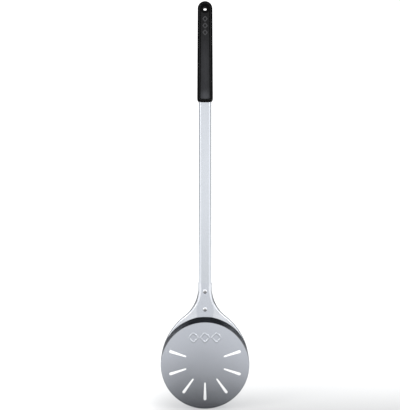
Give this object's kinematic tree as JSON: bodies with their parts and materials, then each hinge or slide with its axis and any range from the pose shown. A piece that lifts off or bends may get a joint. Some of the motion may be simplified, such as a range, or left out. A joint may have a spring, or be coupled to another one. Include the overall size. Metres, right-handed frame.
{
  "type": "pizza turning peel",
  "caption": "Long-handled round peel: slotted sheet-metal blade stepped up to a neck, riveted to a flat-sided tube with a moulded grip and hang hole; turns food in an oven.",
  "frame": {"origin": "centre of the hang hole, midway through the grip on the shaft's axis", "axes": "+Z along the shaft towards the grip's rounded end, -Y the front face where the food lies, +X to the right seen from the front"},
  "size_m": [0.178, 0.025, 0.8105],
  "materials": {
    "head_aluminium": "fine-blasted and anodised, satin",
    "tube_aluminium": "extruded and anodised, satin",
    "plug_nylon": "moulded",
    "rivet_aluminium": "polished by the setting tool",
    "mandrel_steel": "zinc plated",
    "grip_nylon": "glass-filled nylon, lightly textured",
    "inlay_nylon": "spark-eroded fine texture",
    "screw_steel": "zinc plated"
  },
  "bodies": {
    "root": {"peel_head": "head_aluminium", "shaft_tube": "tube_aluminium", "tube_end_plug": "plug_nylon", "upper_neck_rivet": "rivet_aluminium", "upper_neck_rivet_mandrel": "mandrel_steel", "lower_neck_rivet": "rivet_aluminium", "lower_neck_rivet_mandrel": "mandrel_steel", "grip_body": "grip_nylon", "grip_front_inlay": "inlay_nylon", "grip_back_inlay": "inlay_nylon", "upper_grip_screw": "screw_steel", "lower_grip_screw": "screw_steel"}
  },
  "joints": []
}
